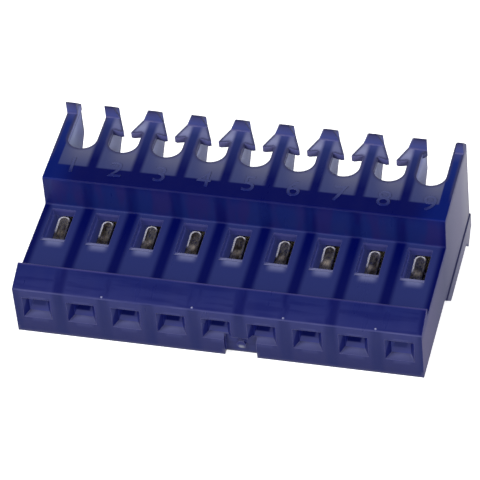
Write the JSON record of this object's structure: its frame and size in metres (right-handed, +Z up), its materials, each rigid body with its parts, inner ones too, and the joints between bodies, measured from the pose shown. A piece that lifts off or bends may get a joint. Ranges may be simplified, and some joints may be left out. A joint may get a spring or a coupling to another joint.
{
  "type": "rectangular wire-to-board connector, insulation-displacement receptacle",
  "caption": "Single-row rectangular receptacle in translucent blue plastic, with post holes, a latch ramp, contact windows and a barbed comb that grips the wires.",
  "frame": {"origin": "centre of the footprint on the surface that the part lies on, back side down", "axes": "+X along the row of positions; +Y roughly from the mating face to the comb tips; +Z up, towards the window side"},
  "size_m": [0.023, 0.0138, 0.008],
  "materials": {
    "nylon": "translucent dark blue moulded nylon, satin",
    "tin": "tin-plated copper alloy strip, bright"
  },
  "bodies": {
    "root": {"housing": "nylon", "contact_1": "tin", "contact_2": "tin", "contact_3": "tin", "contact_4": "tin", "contact_5": "tin", "contact_6": "tin", "contact_7": "tin", "contact_8": "tin", "contact_9": "tin"}
  },
  "joints": []
}
